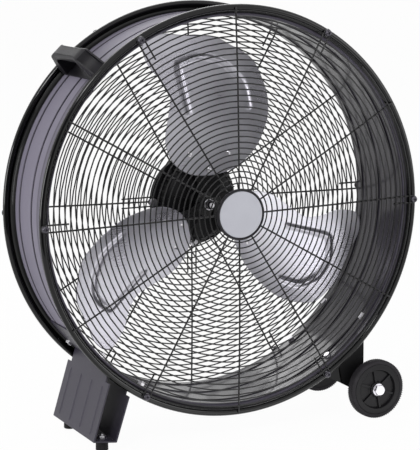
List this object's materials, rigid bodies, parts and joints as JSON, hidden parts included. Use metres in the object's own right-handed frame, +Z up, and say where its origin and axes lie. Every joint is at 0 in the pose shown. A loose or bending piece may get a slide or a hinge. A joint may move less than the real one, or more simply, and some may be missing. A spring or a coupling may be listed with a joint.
{
  "type": "drum fan",
  "caption": "Drum fan with a rolled steel drum, spiral wire guards, pressed blades, a carrying handle, a folded leg and wheels.",
  "frame": {"origin": "on the floor, below the drum's axis and half way along the drum's depth", "axes": "+Z up, the drum's axis along Y with the air leaving at -Y, +X towards the wheels"},
  "size_m": [0.6899, 0.243, 0.724],
  "materials": {
    "grey_powder": "satin powder coat, dark grey",
    "black_powder": "semi-gloss powder coat, black",
    "black_wire": "black coated wire",
    "blade_aluminium": "satin rolled sheet",
    "cast_motor": "black enamel on cast metal",
    "bright_steel": "zinc plated",
    "black_screw": "black zinc",
    "core_steel": "laminated sheet",
    "badge_grey": "satin",
    "black_plastic": "moulded, fine grain",
    "wheel_plastic": "moulded",
    "tyre_rubber": "matt",
    "foot_rubber": "matt"
  },
  "bodies": {
    "body": {"drum_shell": "grey_powder", "support_leg": "grey_powder", "wheel_bracket": "grey_powder", "front_guard_spiral": "black_wire", "front_guard_spokes": "black_wire", "rear_guard_spiral": "black_wire", "rear_guard_spokes": "black_wire", "front_guard_screws": "black_screw", "rear_guard_screws": "black_screw", "badge_cup": "black_plastic", "guard_badge": "badge_grey", "badge_screw": "black_screw", "motor_plate": "black_powder", "motor_plate_bolts": "black_screw", "motor_front_bell": "cast_motor", "motor_rear_bell": "cast_motor", "motor_stator": "core_steel", "front_bearing": "bright_steel", "rear_bearing": "bright_steel", "switch_box": "black_plastic", "switch_box_screws": "black_screw", "speed_switch": "black_plastic", "capacitor": "black_plastic", "cable_gland": "black_plastic", "handle": "black_plastic", "handle_screws": "black_screw", "leg_bolts": "bright_steel", "leg_nuts": "bright_steel", "rubber_feet": "foot_rubber", "foot_studs": "bright_steel", "foot_nuts": "bright_steel", "bracket_bolts": "bright_steel", "bracket_nuts": "bright_steel", "wheel_axle": "bright_steel", "axle_nut": "bright_steel", "axle_spacers": "bright_steel"},
    "rotor": {"motor_shaft": "bright_steel", "rotor_core": "core_steel", "blade_hub": "black_powder", "blade_1": "blade_aluminium", "blade_2": "blade_aluminium", "blade_3": "blade_aluminium", "blade_rivets": "bright_steel", "shaft_nut": "bright_steel"},
    "front_wheel_body": {"front_wheel": "wheel_plastic", "front_tyre": "tyre_rubber"},
    "rear_wheel_body": {"rear_wheel": "wheel_plastic", "rear_tyre": "tyre_rubber"},
    "knob": {"speed_knob": "black_plastic", "switch_spindle": "bright_steel"}
  },
  "joints": [
    {"name": "fan_spin", "type": "hinge", "parent": "body", "child": "rotor", "pos_m": [0, 0, 0.379], "axis": [0, 1, 0], "continuous": true},
    {"name": "front_wheel_spin", "type": "hinge", "parent": "body", "child": "front_wheel_body", "pos_m": [0.2606, -0.104, 0.052], "axis": [0, 1, 0], "continuous": true},
    {"name": "rear_wheel_spin", "type": "hinge", "parent": "body", "child": "rear_wheel_body", "pos_m": [0.2606, 0.104, 0.052], "axis": [0, 1, 0], "continuous": true},
    {"name": "speed_knob_turn", "type": "hinge", "parent": "body", "child": "knob", "pos_m": [0, 0.11, 0.388], "axis": [0, -1, 0], "range_deg": [0, 135]}
  ]
}
